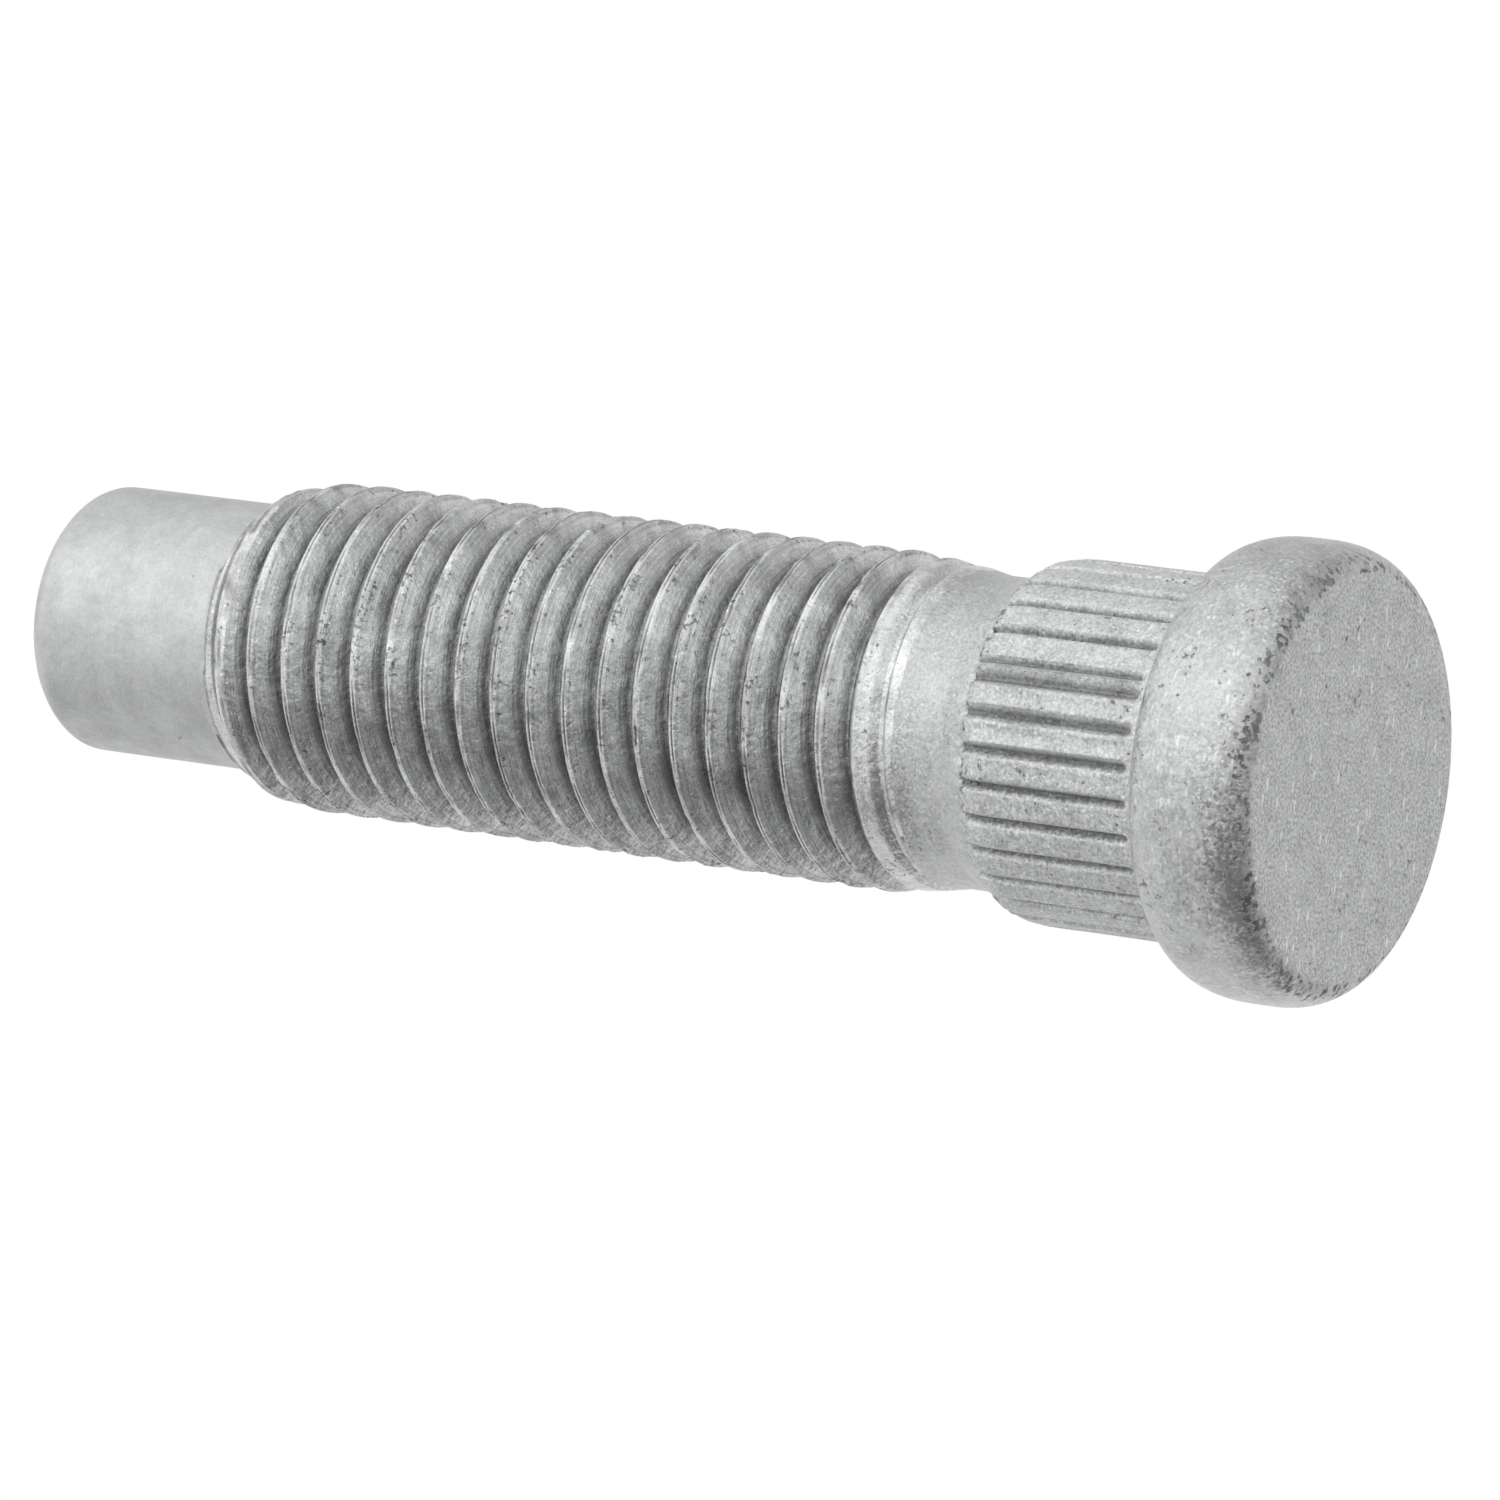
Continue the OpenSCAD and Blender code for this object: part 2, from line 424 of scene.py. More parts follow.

# Places where pits and dirt gather, and the painted shade at the shoulder, as the heights or distances over
# which they rise and fade
dirtAndShade = {
    "faceEdge": {"rise": (0.0, 0.06), "fade": (0.8, 0.25)},
    "toothEnds": {"rise": (11.5, 11.9), "fade": (12.6, 12.1)},
    "runOut": {"middle": (-4.0, -3.9, 14.7), "fade": (1.9, 0.4)},
    "neckFoot": {"fade": (12.4, 12.0), "share": 0.5},
    "crests": {"rise": (5.6, 5.9)},
    # The shoulder's darkening is painted shade in the step from the last ridge down to the nose
    "shoulder": {"rise": (44.25, 44.4), "fade": (5.2, 5.08), "tone": 0.45},
}


def dirtyPlaces(name, x, y, z, radius):
    if name == "head":
        return z.ramp(*dirtAndShade["faceEdge"]["rise"]) * z.ramp(*dirtAndShade["faceEdge"]["fade"])
    if name == "shank":
        return z.ramp(*dirtAndShade["toothEnds"]["rise"]) * z.ramp(*dirtAndShade["toothEnds"]["fade"])
    if name == "neck":
        dx, dy, dz = [v - at for v, at in zip((x, y, z), dirtAndShade["runOut"]["middle"])]
        away = (dx * dx + dy * dy + dz * dz).power(0.5)
        foot = z.ramp(*dirtAndShade["neckFoot"]["fade"]) * dirtAndShade["neckFoot"]["share"]
        return away.ramp(*dirtAndShade["runOut"]["fade"]) + foot
    if name == "thread":
        return radius.ramp(*dirtAndShade["crests"]["rise"])
    return z * 0


# The effects that one zone's coat is mixed from
def coatEffects(tree, name, place, x, y, z, radius, dirty):
    c = coats[name]
    onFace = z.below(finish["faceBelow"])
    grain = useGroup(tree, flakeGrain, {
        "Place": place, "Grain Size": c["grainSize"], "Patch Size": finish["patchSize"],
    })
    pits = useGroup(tree, darkPits, {
        "Place": place, "Pit Size": c["pitSize"], "Cluster Size": c["clusterSize"],
        "Amount": dirty * c["pitGather"] + c["pitAmount"],
    })
    # On the head the painted glints are drawn as short scratches that run along X, up and down in the picture
    stretch = finish["scratchStretch"] if name == "head" else 1.0
    stretched = put(tree, "ShaderNodeCombineXYZ", x * stretch, y, z)
    flecks = useGroup(tree, paintedGlints, {
        "Place": out(stretched, "Vector"), "Fleck Size": c["fleckSize"],
        "Share": c["fleckShare"] - onFace * finish["faceFewer"],
    })
    rolled = useGroup(tree, rolledLines, {
        "Place": place, "Across": radius if name in ("thread", "head") else z,
        "Line Width": finish["lineWidth"], "Run": finish["lineRun"],
    })
    effects = {label: out(grain, label) for label in ("Grain", "Lumps", "Patch", "Flakes")}
    for label, group in (("Pits", pits), ("Flecks", flecks), ("Lines", rolled)):
        effects[label] = out(group, label)
    for label in ("sunk", "seam"):
        stored = put(tree, "ShaderNodeAttribute", attribute_type="GEOMETRY", attribute_name=label)
        effects[label] = out(stored, "Fac")
    effects["onFace"] = onFace
    return effects


# Base tone: grain, patches, lines and painted glints on it, dark pits, and painted shade down the grooves, in
# the crest's seam and at the shoulder
def coatTone(name, effects, z, radius):
    c, e = coats[name], effects
    grainTone = c["grainTone"] + e["onFace"] * finish["faceGrain"]
    paintedGlintTone = c["paintedGlintTone"] + e["onFace"] * finish["facePaintedGlints"]
    lineTone = 2 * c["lineTone"]
    if name == "thread":  # the rolls left lines on the full thread
        lineTone = z.ramp(*thread["linesFrom"]) * lineTone
    tone = 1 + (e["Grain"] - 0.5) * grainTone * 2 + (e["Patch"] - 0.5) * (2 * c["patchTone"])
    # Painted glints lighten the flecks
    tone = tone + (e["Lines"] - 0.5) * lineTone + e["Flecks"] * paintedGlintTone
    darkest = finish["pitDark"] + e["Lumps"] * finish["pitDark"]  # pits are not all as dark
    tone = tone * (1 - e["Pits"] * darkest)
    # Painted shade down the grooves: the deeper a point lies in its groove, the darker
    tone = tone * (1 - e["sunk"].ramp(c["paintedShadeFrom"], 1.0) * c["paintedGrooveShade"])
    # Painted shade in the crease of the crest's seam; the torn spots on the crests are darkened with it
    tone = tone * (1 - e["seam"] * c["seamTone"])
    if name == "thread":  # painted shade along the shoulder at the nose, in the step below the last ridge
        s = dirtAndShade["shoulder"]
        tone = tone * (1 - z.ramp(*s["rise"]) * radius.ramp(*s["fade"]) * s["tone"])
    return (tone * c["tone"]).atMost(finish["lightest"])


def coatRough(name, effects, dirty):
    lumpy = (effects["Lumps"] - 0.5) * finish["lumpRough"]
    rough = coats[name]["roughness"] + lumpy + effects["Pits"] * finish["pitRough"]
    return rough + dirty * finish["scuffRough"] if name == "thread" else rough


def coatHeight(name, effects):
    c, e = coats[name], effects
    height = e["Grain"] * c["grainBump"] + e["Lumps"] * c["lumpBump"] + e["Lines"] * c["lineBump"]
    return height + e["Flakes"] * c["flakeTilt"] - e["Pits"] * finish["pitDepth"]


def flakeCoat(name):
    material = bpy.data.materials.new("zincFlake" + name.capitalize())
    material.use_nodes = True
    tree = material.node_tree
    tree.nodes.clear()
    coordinates = put(tree, "ShaderNodeTexCoord")
    place = put(tree, "ShaderNodeVectorMath", out(coordinates, "Object"), operation="SCALE")
    place.inputs["Scale"].default_value = 1 / mm
    place = out(place, "Vector")
    x, y, z = splitPoint(tree, place)
    radius = (x * x + y * y).power(0.5)
    dirty = dirtyPlaces(name, x, y, z, radius)
    effects = coatEffects(tree, name, place, x, y, z, radius, dirty)

    value = coatTone(name, effects, z, radius)
    colour = put(tree, "ShaderNodeCombineColor", *[value * share for share in finish["tint"]])
    bump = put(tree, "ShaderNodeBump", 1.0, mm)
    join(tree, coatHeight(name, effects), bump.inputs["Height"])
    shader = put(tree, "ShaderNodeBsdfPrincipled")
    join(tree, out(colour, "Color"), shader.inputs["Base Color"])
    shader.inputs["Metallic"].default_value = finish["metallic"]
    join(tree, coatRough(name, effects, dirty), shader.inputs["Roughness"])
    join(tree, out(bump, "Normal"), shader.inputs["Normal"])
    put(tree, "ShaderNodeOutputMaterial", out(shader, "BSDF"))
    return material


# Head and splined shank, all in millimetres

# The seat and the relief beside it are (radius, height above the seat)
head = {
    "height": 4.6, "rimRadius": 8.03, "flatRadius": 6.8, "rimFrom": 1.9, "rimMiddle": 2.3, "rimTo": 2.7,
    "seatRadius": 7.15, "squareness": 2.25, "faceRings": (0, 2.5, 5.0, 6.3), "edgeSteps": 20,
    "underSteps": 10,
    "seat": [
        (6.95, 0), (6.62, 0), (6.42, 0), (6.2, 0.01), (6.07, 0.04), (6.08, 0.1), (6.2, 0.15), (6.385, 0.19),
    ],
}

# The foot, where the grooves begin, is (share of the groove's depth, height above the seat), the
# rounded end is (radius, height), and the break down to the neck is (radius, share, height).
# Lips are raised beside the grooves, as (column of the tooth, share of the lip).
splines = {
    "radius": 6.4, "grooves": 31, "leftOver": 0.5, "first": -55.9, "depth": 0.3, "width": 0.5,
    "columns": 16, "grooveColumns": 10,
    "foot": [(0, 0.25), (0, 0.56), (0.12, 0.64), (0.5, 0.74), (0.88, 0.84)],
    "from": 5.56, "to": 10.7, "rows": 12,
    "end": [
        (6.4, 10.9), (6.39, 11.1), (6.365, 11.35), (6.325, 11.55), (6.28, 11.75), (6.22, 11.87),
        (6.15, 11.93),
    ],
    "break": [
        (6.03, 0.6, 11.97), (5.97, 0.25, 12.02), (5.92, 0.05, 12.12), (5.86, 0, 12.3), (5.76, 0, 12.55),
        (5.66, 0, 12.8), (5.58, 0, 13.0), (5.53, 0, 13.12),
    ],
    "shallowAt": 0.68, "shallowLess": 0.45, "shallowNarrower": 0.3, "wider": 0.3, "widerOver": (4.0, 1.0),
    "lip": 0.04, "lips": [
        (0, 1), (1, 0.5), (2, 0), (8, 0), (9, 0.5), (10, 1), (11, 0.5), (12, -0.3), (13, -0.6), (14, -0.3),
        (15, 0.5), (16, 1),
    ],
    "meeting": -79, "meetingReach": (0.2, 0.5), "lipScale": 0.35, "lipSpan": (0.45, 0.7), "lipElsewhere": 0.5,
    "nick": 0.16, "nickScale": 1.5, "nickSpan": (0.5, 0.72), "nickRise": (11.0, 11.9),
    "nickFade": (12.5, 12.15),
}
neck = {
    "radius": 5.5, "from": 13.25, "swellFrom": 14.4, "columns": 96, "rows": 4, "coatFrom": 11.97,
    "coatTo": 15.0,
}


# Rows from the middle of the face up: radius, share of the groove's depth, height
def shankRows():
    h, s = head, splines
    edgeWide, underWide = h["rimRadius"] - h["flatRadius"], h["rimRadius"] - h["seatRadius"]
    edgeHigh, underHigh = h["rimFrom"], h["height"] - h["rimTo"]
    rows = [(radius, 0, 0) for radius in h["faceRings"]]
    rows += arcPoints(
        h["flatRadius"], h["rimFrom"], edgeWide, edgeHigh, -90, 0, h["edgeSteps"], h["squareness"])
    rows += [(h["rimRadius"], 0, h["rimMiddle"])]
    rows += arcPoints(h["seatRadius"], h["rimTo"], underWide, underHigh, 0, 90, h["underSteps"])
    rows += [(radius, 0, h["height"] + up) for radius, up in h["seat"]]
    rows += [(s["radius"], share, h["height"] + up) for share, up in s["foot"]]
    rows += [(s["radius"], 1, z) for z in between(s["from"], s["to"], s["rows"])]
    rows += [(radius, 1, z) for radius, z in s["end"]]
    return rows + s["break"] + [(neck["radius"], 0, neck["from"])]


# Angle and half width of a numbered groove. The one after the last full one is shallow, and
# stands where the rolled pattern meets itself.
def grooveAngle(number, grooves, step, shallowBack):
    whole = number.above(grooves + 0.5)
    shallow = number.above(grooves - 0.5) - whole
    return number * step * (1 - whole - shallow) + shallow * (turn - shallowBack) + whole * turn


def grooveHalf(number, grooves, width):
    shallow = number.above(grooves - 0.5) - number.above(grooves + 0.5)
    before, last = splines["widerOver"]
    wider = number.ramp(grooves - before, grooves - last) * number.below(grooves - 0.5)
    return width * 0.5 * (1 - shallow * splines["shallowNarrower"] + wider * splines["wider"])


# Heights of the lips beside the grooves: full at the meeting place, and in patches elsewhere
def lipHeight(tree, along, angle, place):
    s = splines
    lips = alongTable(tree, along, [(column / s["columns"], share) for column, share in s["lips"]])
    fromMeeting = ((angle + (math.pi - math.radians(s["meeting"]))) % turn - math.pi).abs()
    patches = noiseAt(tree, place, s["lipScale"], seed=3.0).ramp(*s["lipSpan"]) * s["lipElsewhere"]
    return lips, fromMeeting.ramp(*s["meetingReach"], 1.0, 0.0) + patches


def shankTree():
    tree, given = shapeTree("shankTree", {
        "Grooves": 31, "Left Over": 0.5, "First Groove": 0.0, "Groove Width": 0.6, "Groove Depth": 0.3,
        "Shank Radius": 6.4, "Columns a Tooth": 12, "Neck Columns": 128, "Lip": 0.02, "Nick": 0.1,
        "Head Coat": coatHead, "Shank Coat": coatShank,
    })
    s = splines
    grooves, perTooth = given["Grooves"], given["Columns a Tooth"]
    grid, column, row = sweepGrid(tree, given["Geometry"], (grooves + 1) * perTooth)
    radius, share, height = rowPoint(tree, given["Geometry"], row)
    step = turn / (grooves + given["Left Over"])
    back = (given["Left Over"] + 1) * step * s["shallowAt"]
    width = given["Groove Width"] / given["Shank Radius"]

    # The first columns of a tooth cross its groove and the others its land
    tooth = (column / perTooth + 0.001).floor()
    along = (column - tooth * perTooth) / perTooth
    start, half = grooveAngle(tooth, grooves, step, back), grooveHalf(tooth, grooves, width)
    stop = grooveAngle(tooth + 1, grooves, step, back) - grooveHalf(tooth + 1, grooves, width)
    crossing = s["grooveColumns"] / s["columns"]
    onLand = along.above(crossing - 0.001)
    inGroove = start + half * (along * (2 / crossing) - 1)
    land = start + half + (stop - start - half) * ((along - crossing) / (1 - crossing))
    angle = inGroove * (1 - onLand) + land * onLand + given["First Groove"] * (turn / 360)

    valley = [(1 - math.cos(turn * i / s["grooveColumns"])) / 2 for i in range(s["grooveColumns"] + 1)]
    sectionTable = [(i / s["columns"], depth) for i, depth in enumerate(valley)] + [(1, 0)]
    section = alongTable(tree, along, sectionTable)
    deep = given["Groove Depth"] * (1 - tooth.above(grooves - 0.5) * s["shallowLess"])
    reach = given["Shank Radius"]
    place = put(tree, "ShaderNodeCombineXYZ", angle.cos() * reach, angle.sin() * reach, height)
    lips, lifted = lipHeight(tree, along, angle, place)
    radius = radius - share * (section * deep - lips * given["Lip"] * lifted)

    # Nicks broken out of the teeth's rounded ends
    chips = noiseAt(tree, place, s["nickScale"], 2.0, 0.6, seed=11.0).ramp(*s["nickSpan"])
    atEnd = height.ramp(*s["nickRise"]) * height.ramp(*s["nickFade"])
    radius = radius - atEnd * chips * given["Nick"] * (1 - section)

    # The last row is drawn onto the neck's fewer columns
    slot = turn / given["Neck Columns"]
    last = height.above(neck["from"] - 0.01)
    angle = angle + last * ((angle / slot).round() * slot - angle)
    form = wrapRound(tree, grid, radius, angle, height, section * share)
    z = splitPoint(tree, put(tree, "GeometryNodeInputPosition"))[2]
    endTree(tree, paint(tree, form, given["Head Coat"]), given["Shank Coat"], z.above(head["height"] + 0.005))
    return tree


# Turned forms

nose = {
    "radius": 4.885, "from": 45.0, "to": 51.7, "rows": 9, "tipHeight": 1.25, "tipWidth": 2.1, "tipSteps": 16,
    "tipRings": (1.8, 0.8, 0), "coatFrom": 44.3, "coatWithin": 4.97,
}


def turnedTree():
    tree, given = shapeTree("turnedTree", {"Columns": 128, "Material": coatNose})
    grid, column, row = sweepGrid(tree, given["Geometry"], given["Columns"])
    radius, height = rowPoint(tree, given["Geometry"], row)[::2]
    endTree(tree, wrapRound(tree, grid, radius, column / given["Columns"] * turn, height), given["Material"])
    return tree


def neckRows():
    return [(neck["radius"], 0, z) for z in between(neck["from"], neck["swellFrom"], neck["rows"])]


def noseRows():
    n = nose
    straight = [(n["radius"], 0, z) for z in [thread["high"]] + between(n["from"], n["to"], n["rows"])]
    tip = arcPoints(
        n["radius"] - n["tipWidth"], n["to"], n["tipWidth"], n["tipHeight"], 0, 90, n["tipSteps"])
    return straight + tip[1:] + [(radius, 0, n["to"] + n["tipHeight"]) for radius in n["tipRings"]]


# Thread, in millimetres

# The groove's edge is its half width at full depth. Past the last ridge its floor goes on to a
# low shoulder at the nose. The spans torn, seam and valley, and seamRow, are distances from the
# groove's middle, and those that end in Span are levels of a noise.
thread = {
    "crest": 6.0, "core": 5.065, "pitch": 1.5, "low": 14.4, "high": 44.8, "phase": 0.16, "middle": 30.0,
    "edge": 0.655, "narrowest": 0.2, "flank": 30, "spareTurns": 5, "turnsBefore": 1.5, "shoulder": 44.45,
    "fullShare": (0.4, 0.85), "valley": (0.1, 0.4), "seam": (0.69, 0.74), "seamRow": 0.71,
    "seamScale": 0.55, "seamSpan": (0.42, 0.56), "linesFrom": (16.5, 18.0),
    "tear": 0.06, "torn": (0.5, 0.66), "tornScale": 1.3, "tornSpan": (0.55, 0.68), "tornDark": 0.8,
}

# Share of the groove's depth where the rolls ran out towards the neck, as (height, share)
runOut = [(14.4, 0), (14.9, 0), (15.05, 0.3), (15.9, 0.36), (16.3, 0.5), (17.0, 0.93), (17.6, 1), (46, 1)]

# Radius of the crests along the axis, as (height, radius)
crestLine = [
    (14.4, 5.5), (15.0, 5.61), (15.36, 5.69), (16.0, 5.76), (17.6, 6.0),
    (41.6, 6.0), (42.4, 5.93), (43.25, 5.78), (43.66, 5.65), (44.03, 5.46), (44.41, 5.25), (44.62, 4.885),
    (44.9, 4.885),
]

# Section over half a pitch, crest to root: distance from the groove's middle, share of depth
halfSection = [
    (-0.75, 0.034), (-0.73, 0.02), (-0.705, 0.0), (-0.672, 0.0), (-0.64, 0.016), (-0.615, 0.036),
    (-0.588, 0.07), (-0.36, 0.491), (-0.14, 0.90), (-0.085, 0.97), (0, 1),
]
threadSection = halfSection + [(-x, share) for x, share in reversed(halfSection[:-1])]


# Height of a point of the section. Where the blank is thinner the groove is narrower and the
# crest beside it wider.
def threadHeight(tree, given, across, middle, ridge):
    t = thread
    thinner = given["Crest Radius"] - alongTable(tree, ridge, crestLine)
    edge = (t["edge"] - thinner * math.tan(math.radians(t["flank"]))).atLeast(t["narrowest"])
    inside = across.abs().atMost(t["edge"]) * (edge / t["edge"])
    halfPitch = given["Pitch"] * 0.5
    outside = (across.abs() - t["edge"]).atLeast(0.0) * ((halfPitch - edge) / (halfPitch - t["edge"]))
    height = middle + (inside + outside) * across.sign()
    return height.atLeast(given["From"]).atMost(given["To"])


def threadTree():
    tree, given = shapeTree("threadTree", {
        "Pitch": 1.5, "Phase": 0.0, "From": 15.0, "To": 45.3, "Columns": 128, "Crest Radius": 6.0,
        "Core Radius": 5.065, "Tear": 0.05, "Material": coatThread,
    })
    t, columns, pitch = thread, given["Columns"], given["Pitch"]
    turns = ((given["To"] - given["From"]) / pitch + t["spareTurns"]).ceil()
    grid, column, row = sweepGrid(tree, given["Geometry"], turns * columns, len(threadSection))
    across, share = rowPoint(tree, given["Geometry"], row)[:2]

    # The groove's middle climbs one pitch a turn
    turnsIn = column / columns
    begin = (given["From"] / pitch).floor() * pitch - pitch * t["turnsBefore"]
    middle = begin + given["Phase"] + turnsIn * pitch
    # Towards the nose each ridge keeps the radius that it has at its own middle
    ridge = middle + across.sign() * (pitch * 0.5) * middle.above(t["middle"])
    height = threadHeight(tree, given, across, middle, ridge)

    begun = alongTable(tree, height, runOut)
    atRidge = alongTable(tree, ridge.atLeast(t["middle"]), crestLine)
    crest = alongTable(tree, height, crestLine).atMost(atRidge)
    depth = (crest - given["Core Radius"]).atLeast(0.0) * begun
    # The shallow first groove is a plain narrow valley, and its crest has no seam
    full = begun.ramp(*t["fullShare"])
    valley = across.abs().ramp(*t["valley"], 1.0, 0.0)
    share = valley + (share - valley) * full

    # The seam along the crests shows in places only, and the crests are torn here and there
    angle, reach = turnsIn * turn, given["Crest Radius"]
    place = put(tree, "ShaderNodeCombineXYZ", angle.cos() * reach, angle.sin() * reach, height)
    shown = noiseAt(tree, place, t["seamScale"], seed=7.0).ramp(*t["seamSpan"])
    torn = noiseAt(tree, place, t["tornScale"], 2.0, 0.6, seed=13.0).ramp(*t["tornSpan"])
    torn = torn * across.abs().ramp(*t["torn"]) * full * height.ramp(t["shoulder"], t["shoulder"] - 1)
    share = share * (1 - across.abs().above(t["seamRow"]) * (1 - shown))
    # The coat paints shade in the crease of the seam by this mask, and darkens the torn spots with it
    seam = (across.abs().ramp(*t["seam"]) * full * shown).atLeast(torn * t["tornDark"])
    lowest = given["Core Radius"] * height.below(t["shoulder"])
    radius = (crest - share * depth - torn * given["Tear"]).atLeast(lowest)
    endTree(tree, wrapRound(tree, grid, radius, angle, height, share * begun, seam), given["Material"])
    return tree


# The whole stud

# Light dents and waves of the surface, away from the flat face and the seat
surface = {
    "dents": 0.006, "waves": 0.02, "dentScale": 2.2, "waveScale": 0.45, "offFace": (0.05, 0.4),
    "offSeat": (0.02, 0.3), "sharpAngle": 50,
}


# Joins the forms, dents the surface lightly and scales it to metres
def joinTree():
    tree, given = shapeTree("joinTree", {
        "Neck": bpy.types.Object, "Thread": bpy.types.Object, "Nose": bpy.types.Object,
        "Dents": 0.006, "Waves": 0.02, "Neck Coat": coatNeck, "Nose Coat": coatNose,
    })
    joined = put(tree, "GeometryNodeJoinGeometry")
    join(tree, given["Geometry"], joined.inputs[0])
    for name in ("Neck", "Thread", "Nose"):
        join(tree, out(put(tree, "GeometryNodeObjectInfo", given[name]), "Geometry"), joined.inputs[0])
    welded = put(tree, "GeometryNodeMergeByDistance", joined, None, weld["forms"])
    place = put(tree, "GeometryNodeInputPosition")
    fine = noiseAt(tree, place, surface["dentScale"], 3.0, 0.6, seed=5.0) - 0.5
    broad = noiseAt(tree, place, surface["waveScale"], 1.0, 0.5, seed=9.0) - 0.5
    height = splitPoint(tree, place)[2]
    offFlats = height.ramp(*surface["offFace"]) * (height - head["height"]).abs().ramp(*surface["offSeat"])
    shift = put(tree, "ShaderNodeVectorMath", put(tree, "GeometryNodeInputNormal"), operation="SCALE")
    join(tree, (fine * given["Dents"] + broad * given["Waves"]) * offFlats, shift.inputs["Scale"])
    moved = put(tree, "GeometryNodeSetPosition", welded, None, None, out(shift, "Vector"))
    scaled = put(tree, "GeometryNodeTransform", moved)
    scaled.inputs["Scale"].default_value = (mm, mm, mm)
    smooth = put(tree, "GeometryNodeSetShadeSmooth", scaled)
    x, y, z = [wire / mm for wire in splitPoint(tree, put(tree, "GeometryNodeInputPosition"))]
    onNose = z.above(nose["coatFrom"]) * (x * x + y * y).power(0.5).below(nose["coatWithin"])
    onNeck = z.above(neck["coatFrom"]) * z.below(neck["coatTo"])
    endTree(tree, paint(tree, smooth, given["Nose Coat"], onNose), given["Neck Coat"], onNeck)
    return tree


zones = ("head", "shank", "neck", "thread", "nose")
coatHead, coatShank, coatNeck, coatThread, coatNose = [flakeCoat(name) for name in zones]
print("coats ready")


def makeStud():
    shank = outlineObject("shank", shankRows())
    shapeBy(shank, shankTree(), {
        "Grooves": splines["grooves"], "Left Over": splines["leftOver"], "First Groove": splines["first"],
        "Groove Width": splines["width"], "Groove Depth": splines["depth"], "Shank Radius": splines["radius"],
        "Columns a Tooth": splines["columns"], "Neck Columns": neck["columns"], "Lip": splines["lip"],
        "Nick": splines["nick"], "Head Coat": coatHead, "Shank Coat": coatShank,
    })
    turned = turnedTree()
    neckForm = outlineObject("neckForm", neckRows())
    shapeBy(neckForm, turned, {"Columns": neck["columns"], "Material": coatNeck})
    noseForm = outlineObject("noseForm", noseRows())
    shapeBy(noseForm, turned, {"Columns": neck["columns"], "Material": coatNose})
    threadForm = outlineObject("threadForm", [(x, share, 0) for x, share in threadSection])
    shapeBy(threadForm, threadTree(), {
        "Pitch": thread["pitch"], "Phase": thread["phase"], "From": thread["low"], "To": thread["high"],
        "Columns": neck["columns"], "Crest Radius": thread["crest"], "Core Radius": thread["core"],
        "Tear": thread["tear"], "Material": coatThread,
    })
    shapeBy(shank, joinTree(), {
        "Neck": neckForm, "Thread": threadForm, "Nose": noseForm, "Dents": surface["dents"],
        "Waves": surface["waves"], "Neck Coat": coatNeck, "Nose Coat": coatNose,
    })
    mesh = bpy.data.meshes.new_from_object(shank.evaluated_get(bpy.context.evaluated_depsgraph_get()))
    mesh.name = "wheelStud"
    for form in (shank, neckForm, noseForm, threadForm):
        bpy.data.objects.remove(form)
    mesh.set_sharp_from_angle(angle=math.radians(surface["sharpAngle"]))
    piece = bpy.data.objects.new("wheelStud", mesh)
    scene.collection.objects.link(piece)
    return piece


stud = makeStud()
triangles = sum(len(face.vertices) - 2 for face in stud.data.polygons)
print("stud:", len(stud.data.vertices), "points,", triangles, "triangles")

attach(stud, "root")
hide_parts(studNode)


# Floor: it keeps the shadow, and nothing of it shows from below
floor = {"size": 4.0, "drop": 0.00002, "colour": (0.86, 0.86, 0.86, 1)}


def makeFloor():
    half, drop = floor["size"] / 2, floor["drop"]
    mesh = bpy.data.meshes.new("floor")
    corners = [(x * half, y * half, -drop) for x, y in ((-1, -1), (1, -1), (1, 1), (-1, 1))]
    mesh.from_pydata(corners, [], [(0, 1, 2, 3)])
    plane = bpy.data.objects.new("floor", mesh)
    scene.collection.objects.link(plane)
    material = bpy.data.materials.new("paleFloor")
    material.use_nodes = True
    tree = material.node_tree
    tree.nodes.clear()
    matt = put(tree, "ShaderNodeBsdfDiffuse", floor["colour"])
    clear = put(tree, "ShaderNodeBsdfTransparent")
    below = out(put(tree, "ShaderNodeNewGeometry"), "Backfacing")
    put(tree, "ShaderNodeOutputMaterial", put(tree, "ShaderNodeMixShader", below, matt, clear))
    mesh.materials.append(material)
    for way in ("visible_diffuse", "visible_glossy", "visible_transmission", "visible_shadow"):
        setattr(plane, way, False)


makeFloor()
print("floor ready")


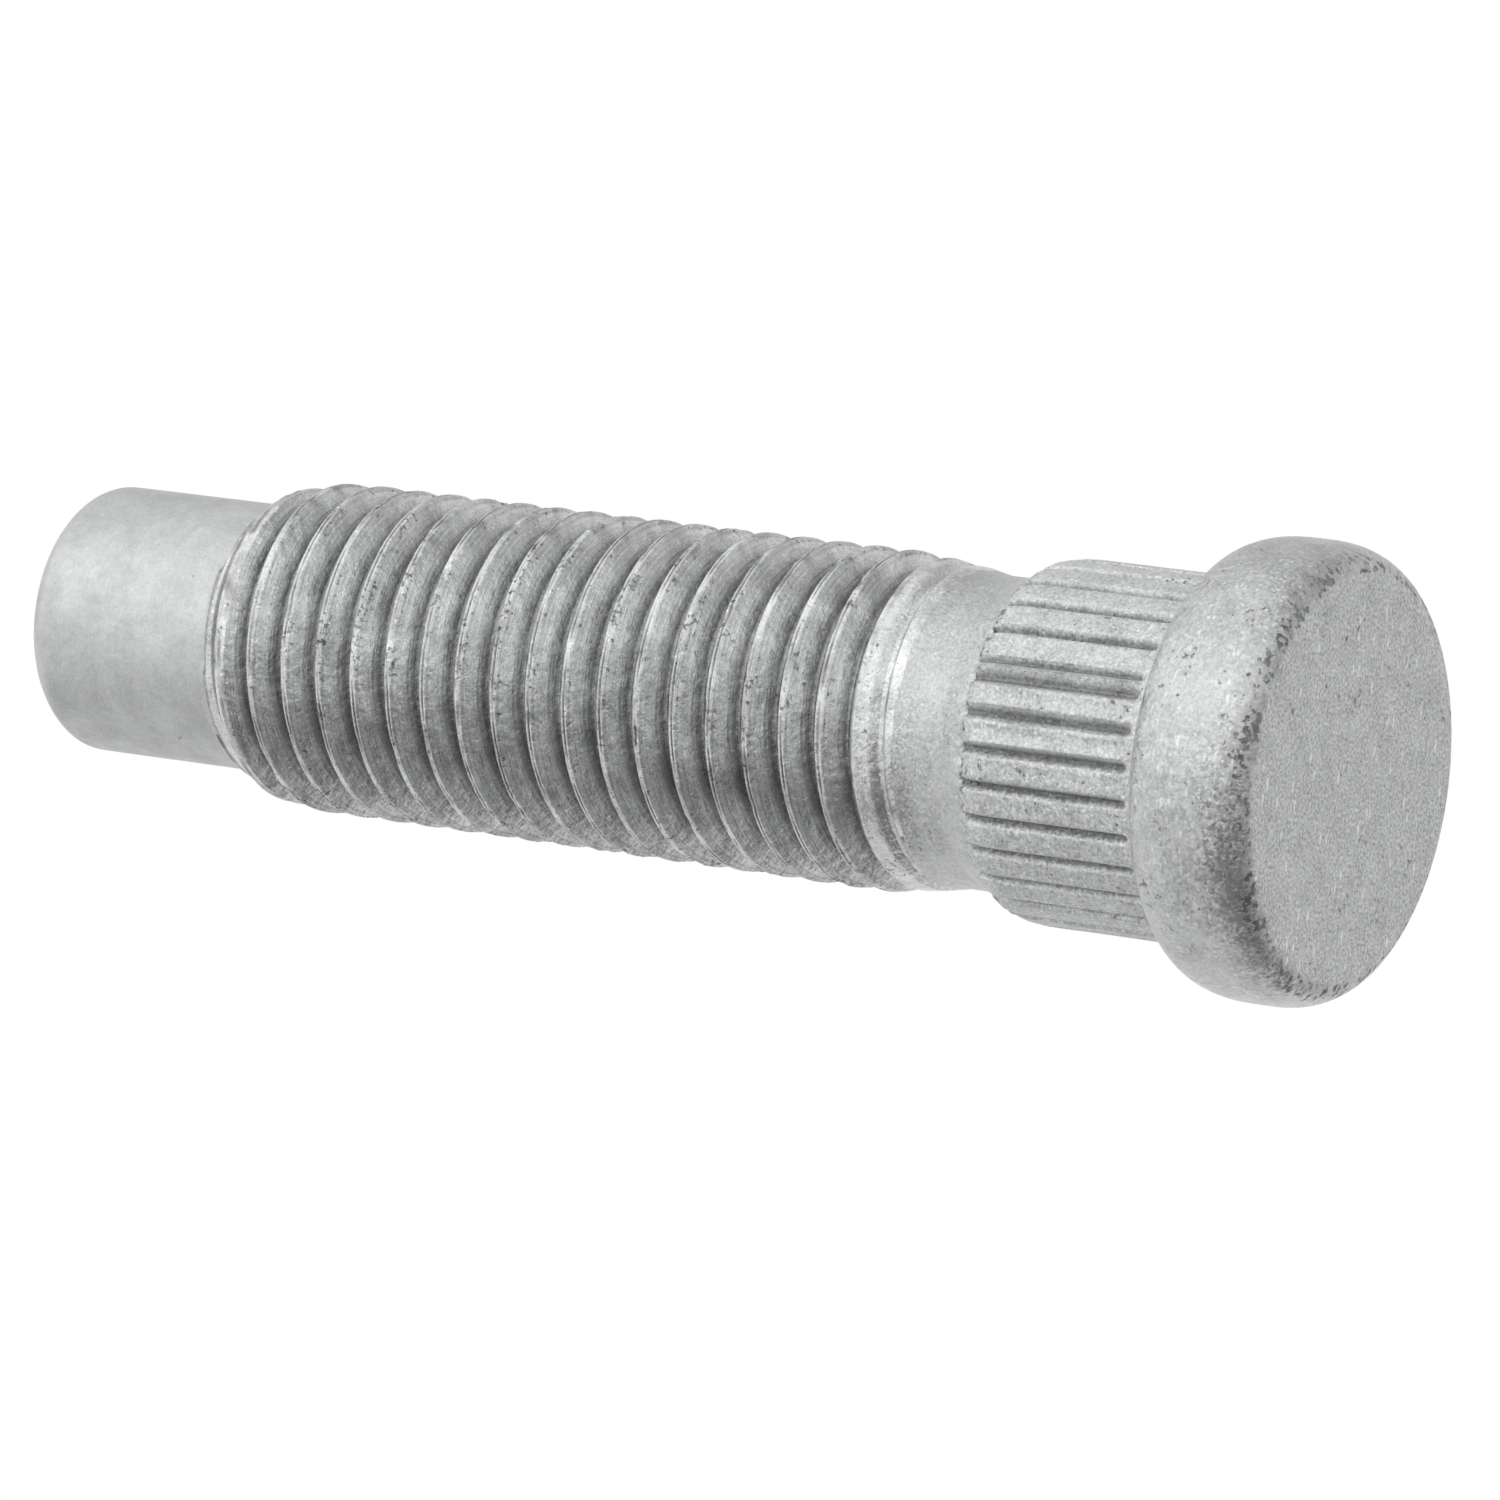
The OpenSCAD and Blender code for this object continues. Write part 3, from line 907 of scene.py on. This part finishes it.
# Light: a white tent whose soft panels, as (azimuth, elevation, strength), are brighter on one
# side and in front than on the other. The metal mirrors them, and the background is plain white.
tent = {
    "level": 0.02, "white": 1.0, "spread": (0.4, 1.0),
    "panels": [
        (-90, 35, 0.80), (-30, 35, 0.45), (30, 35, 0.42), (90, 35, 0.10), (150, 35, 0.67), (0, 85, 0.19),
        (-60, -30, 0.65), (-30, -10, 0.26), (90, -10, 0.51), (150, -10, 0.04), (-150, -10, 0.11),
        (10, -60, 0.24), (90, -50, 0.23),
    ],
}


def direction(azimuth, elevation):
    a, e = math.radians(azimuth), math.radians(elevation)
    return Vector((math.cos(e) * math.cos(a), math.cos(e) * math.sin(a), math.sin(e)))


def makeTent():
    world = bpy.data.worlds.new("tent")
    scene.world = world
    world.use_nodes = True
    tree = world.node_tree
    tree.nodes.clear()
    looking = out(put(tree, "ShaderNodeTexCoord"), "Generated")
    shade = tent["level"]
    for azimuth, elevation, strength in tent["panels"]:
        towards = direction(azimuth, elevation)
        facing = put(tree, "ShaderNodeVectorMath", looking, towards, operation="DOT_PRODUCT")
        shade = out(facing, "Value").ramp(*tent["spread"]) * strength + shade
    path = put(tree, "ShaderNodeLightPath")
    seen = out(path, "Is Camera Ray").atLeast(out(path, "Is Transmission Ray"))
    level = shade * (1 - seen) + seen * tent["white"]
    put(tree, "ShaderNodeOutputWorld", put(tree, "ShaderNodeBackground", (1, 1, 1, 1), level))


makeTent()
scene.view_settings.view_transform = "Standard"
print("tent ready")


# Camera: below the head, looking up, rolled so that the stud lies across the picture
camera = {
    "aim": (-1.722, 1.112, 24.69), "azimuth": -90, "elevation": -31.557, "distance": 330.9, "roll": 82.371,
    "lens": 223.718, "sensor": 36, "near": 0.01, "far": 10,
}


def makeCamera():
    back = direction(camera["azimuth"], camera["elevation"])
    right = (-back).cross(Vector((0, 0, 1))).normalized()
    up = right.cross(-back)
    roll = math.radians(camera["roll"])
    up = up * math.cos(roll) + right * math.sin(roll)
    right = (-back).cross(up)
    view = bpy.data.cameras.new("camera")
    view.lens, view.sensor_width = camera["lens"], camera["sensor"]
    view.clip_start, view.clip_end = camera["near"], camera["far"]
    holder = bpy.data.objects.new("camera", view)
    place = Matrix.Translation((Vector(camera["aim"]) + back * camera["distance"]) * mm)
    holder.matrix_world = place @ Matrix((right, up, back)).transposed().to_4x4()
    scene.collection.objects.link(holder)
    scene.camera = holder


makeCamera()
print("camera ready")
